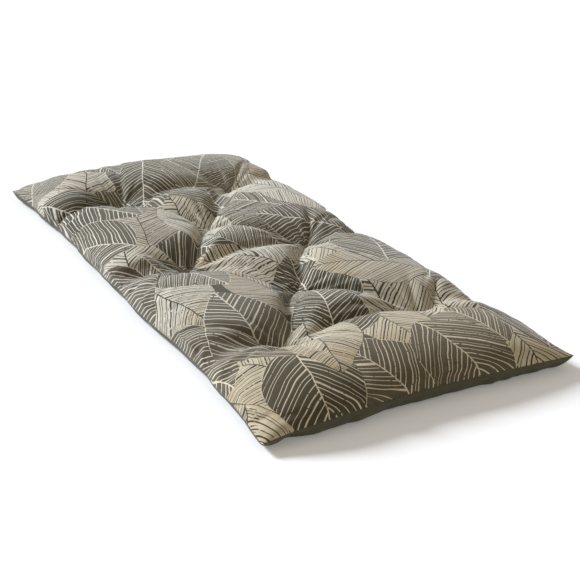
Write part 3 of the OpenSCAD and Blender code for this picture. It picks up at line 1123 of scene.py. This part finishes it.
def addClosingStitches():
    # whip stitches over the near end's seam, where the cover was filled
    rim, above, below = topPlaces[:, 0], topPlaces[:, 1], basePlaces[:, 1]
    halfLength, radius = seam["closingLength"] / 2, seam["threadRadius"]
    lean = np.array([seam["lean"] / 2, 0, 0])
    out = np.array([0, -1.0, 0])
    aboveBy, belowBy, seamBy = seam["clear"]
    parts = []
    for x in np.arange(-halfLength, halfLength + 0.001, seam["closingPitch"]):
        middle = atWidth(rim, x)
        up, down = atWidth(above, x) - middle, atWidth(below, x) - middle
        up, down = up / np.linalg.norm(up), down / np.linalg.norm(down)
        first = middle + up * seam["bite"][0] + lean + (out + (0, 0, 1)) * aboveBy
        last = middle + down * seam["bite"][1] - lean + out * belowBy
        over = 2 * (middle + out * seamBy) - (first + last) / 2
        s = np.linspace(0, 1, 11)[:, None]
        curve = (1 - s) ** 2 * first + 2 * s * (1 - s) * over + s ** 2 * last
        parts.append(sweepTube(curve, radius, 6))
    addYarns("closingStitches", parts, sewingThread, "closing_stitches")


addSeamThread()
addClosingStitches()
print("seam thread and closing stitches made")


twine = dict(
    radius=0.0008,
    plies=3,
    plyRadius=0.55,        # as a share of the twine's
    plyOffset=0.5,         # the same for how far they stand from its middle
    lay=0.006,             # length of one turn of the plies
    step=0.0007,           # between the rings of a ply
    span=0.008,            # length of the stitches, on top and beneath
    lift=1.2,              # how far they stand off the cloth, in radii
    turnOver=0.001,        # from the top cloth down to where the stitch bends over
    knot=0.0045,
    tightness=0.42,        # a loop of the knot, as a share of half the knot
    knotDrop=0.0024,       # from the stitch beneath down to the knot
    # a cut end's points, across, along and down from that stitch
    ends=[(0, 0, 0.0022), (0.004, 0.003, 0.003)],
    endTip=(0.009, 0.008, 0.0022),   # and its tip, whose height is from the floor
)


def pliedTwine(path):
    # plies wound round each other along a path
    w = twine
    path = resampled(path, w["step"])
    ahead = unitRows(np.gradient(path, axis=0))
    sides, ups = pathFrames(ahead, np.cross(ahead[0], (0.3, 1, 0.2)))
    parts = []
    for k in range(w["plies"]):
        angle = 2 * math.pi * (lengthsAlong(path) / w["lay"] + k / w["plies"])
        offset = np.cos(angle)[:, None] * sides + np.sin(angle)[:, None] * ups
        ply = path + w["plyOffset"] * w["radius"] * offset
        parts.append(sweepTube(ply, w["radius"] * w["plyRadius"], 6))
    return parts


def addTie(number, tie):
    # twine up through the mattress, over a stitch on top, down again and across beneath
    w = twine
    x, y = tie["place"]
    top, low = mattress["tuftTop"], mattress["tuftBase"]
    left, right = x - w["span"] / 2, x + w["span"] / 2
    lift = w["radius"] * w["lift"]
    under, bend = low - lift, top - w["turnOver"]
    path = [(left, y, under), (left, y, bend)]
    for a in np.linspace(0, math.pi, 13):
        path.append((x - math.cos(a) * w["span"] / 2, y, top + math.sin(a) ** 0.5 * lift))
    path += [(right, y, bend), (right, y, under), (left - 0.001, y + 0.0004, under - 0.0002)]
    parts = pliedTwine(path)
    # overhand knot: a trefoil pulled tight, with two short ends
    turn = np.linspace(0, 2 * math.pi, 61)[:-1]
    r = w["knot"] / 2 * w["tightness"]
    knot = np.stack([
        x + r * (np.sin(turn) + 2 * np.sin(2 * turn)) / 2,
        y + r * (np.cos(turn) - 2 * np.cos(2 * turn)) / 2,
        under - w["knotDrop"] - r * np.sin(3 * turn) * 0.5,
    ], 1)
    parts.append(sweepTube(knot, w["radius"], 8, closed=True))
    tipX, tipY, tipZ = w["endTip"]
    for way in (-1, 1):
        end = [(x + way * across, y + along, under - down) for across, along, down in w["ends"]]
        end.append((x + way * tipX, y + tipY, tipZ))
        parts += pliedTwine(resampled(end, 0.001))
    addYarns("tie%d" % (number + 1), parts, tuftingTwine, "tuft_tie_%d" % (number + 1))


for number, tie in enumerate(ties):
    addTie(number, tie)
print("ties made")

# ---- camera, floor and light ----

view = dict(heading=-31.64, tilt=24.80, roll=2.4, place=(-1.057, -1.871, 0.961), lens=72.3)
lens = bpy.data.cameras.new("camera")
lens.lens = view["lens"]
lens.sensor_width = 36
camera = bpy.data.objects.new("camera", lens)
scene.collection.objects.link(camera)
camera.matrix_world = (
    Matrix.Translation(view["place"])
    @ Matrix.Rotation(math.radians(view["heading"]), 4, "Z")
    @ Matrix.Rotation(math.radians(90 - view["tilt"]), 4, "X")
    @ Matrix.Rotation(math.radians(view["roll"]), 4, "Z")
)
scene.camera = camera

studio = dict(
    ambient=0.38,          # warm light of the room, the same from all sides
    ambientColour="#fff5e4",
    sun=5.05,              # cooler window light; the two together make a level white card white
    sunColour="#eaf2ff",
    sunAcross=-27,         # turn of the light from +Y in degrees, negative towards -X
    sunHeight=27,
    sunSoftness=16,
    floor="#f4f3f1",
    lift=0.16,             # seen by the camera and in reflections only: an open floor up to white
)


def seenDirectly(tree, level):
    # the level for rays from the camera, a reflection or a clear material, and nothing for others
    rays = addNode(tree, "ShaderNodeLightPath").outputs
    known = {kind: rays["Is %s Ray" % kind] for kind in ("Camera", "Glossy", "Transmission")}
    return addChain(tree, "ShaderNodeMath", known, [
        ("either", "MAXIMUM", "Camera", "Glossy"),
        ("any", "MAXIMUM", "either", "Transmission"),
        ("seen", "MULTIPLY", "any", level),
    ])["seen"]


def addFloor():
    # matt painted studio floor, with the object's soft shadow
    material, tree, shader = newMaterial("studio floor")
    wire(tree, shader, {
        "Base Color": hexColour(studio["floor"]), "Roughness": 0.95, "Specular IOR Level": 0.0,
    })
    glow = addNode(tree, "ShaderNodeEmission", {
        "Color": hexColour("#ffffff"), "Strength": seenDirectly(tree, studio["lift"]),
    })
    both = addNode(tree, "ShaderNodeAddShader", {0: shader.outputs[0], 1: glow.outputs[0]})
    wire(tree, tree.nodes["Material Output"], {"Surface": both.outputs[0]})
    mesh = bpy.data.meshes.new("studioFloor")
    mesh.from_pydata([(-60, -60, 0), (60, -60, 0), (60, 60, 0), (-60, 60, 0)], [], [(0, 1, 2, 3)])
    mesh.materials.append(material)
    floor = bpy.data.objects.new("studioFloor", mesh)
    scene.collection.objects.link(floor)


def addWorld():
    # plain light from all sides, behind a white backdrop
    world = bpy.data.worlds.new("studio")
    scene.world = world
    world.use_nodes = True
    tree = world.node_tree
    tree.nodes.clear()
    ambient = addNode(tree, "ShaderNodeBackground", {
        "Color": hexColour(studio["ambientColour"]), "Strength": studio["ambient"],
    })
    backdrop = addNode(tree, "ShaderNodeBackground", {"Color": hexColour("#ffffff"), "Strength": 1.0})
    both = addNode(tree, "ShaderNodeMixShader", {
        0: seenDirectly(tree, 1.0), 1: ambient.outputs[0], 2: backdrop.outputs[0],
    })
    addNode(tree, "ShaderNodeOutputWorld", {0: both.outputs[0]})


def addSun():
    light = bpy.data.lights.new("windowLight", "SUN")
    light.energy = studio["sun"]
    light.angle = math.radians(studio["sunSoftness"])
    light.color = hexColour(studio["sunColour"])[:3]
    lamp = bpy.data.objects.new("windowLight", light)
    turn, height = math.radians(studio["sunAcross"]), math.radians(studio["sunHeight"])
    level = math.cos(height)
    towards = Vector((math.sin(turn) * level, math.cos(turn) * level, math.sin(height)))
    lamp.rotation_euler = (-towards).to_track_quat("-Z", "Y").to_euler()
    scene.collection.objects.link(lamp)


addFloor()
addWorld()
addSun()
print("studio made")
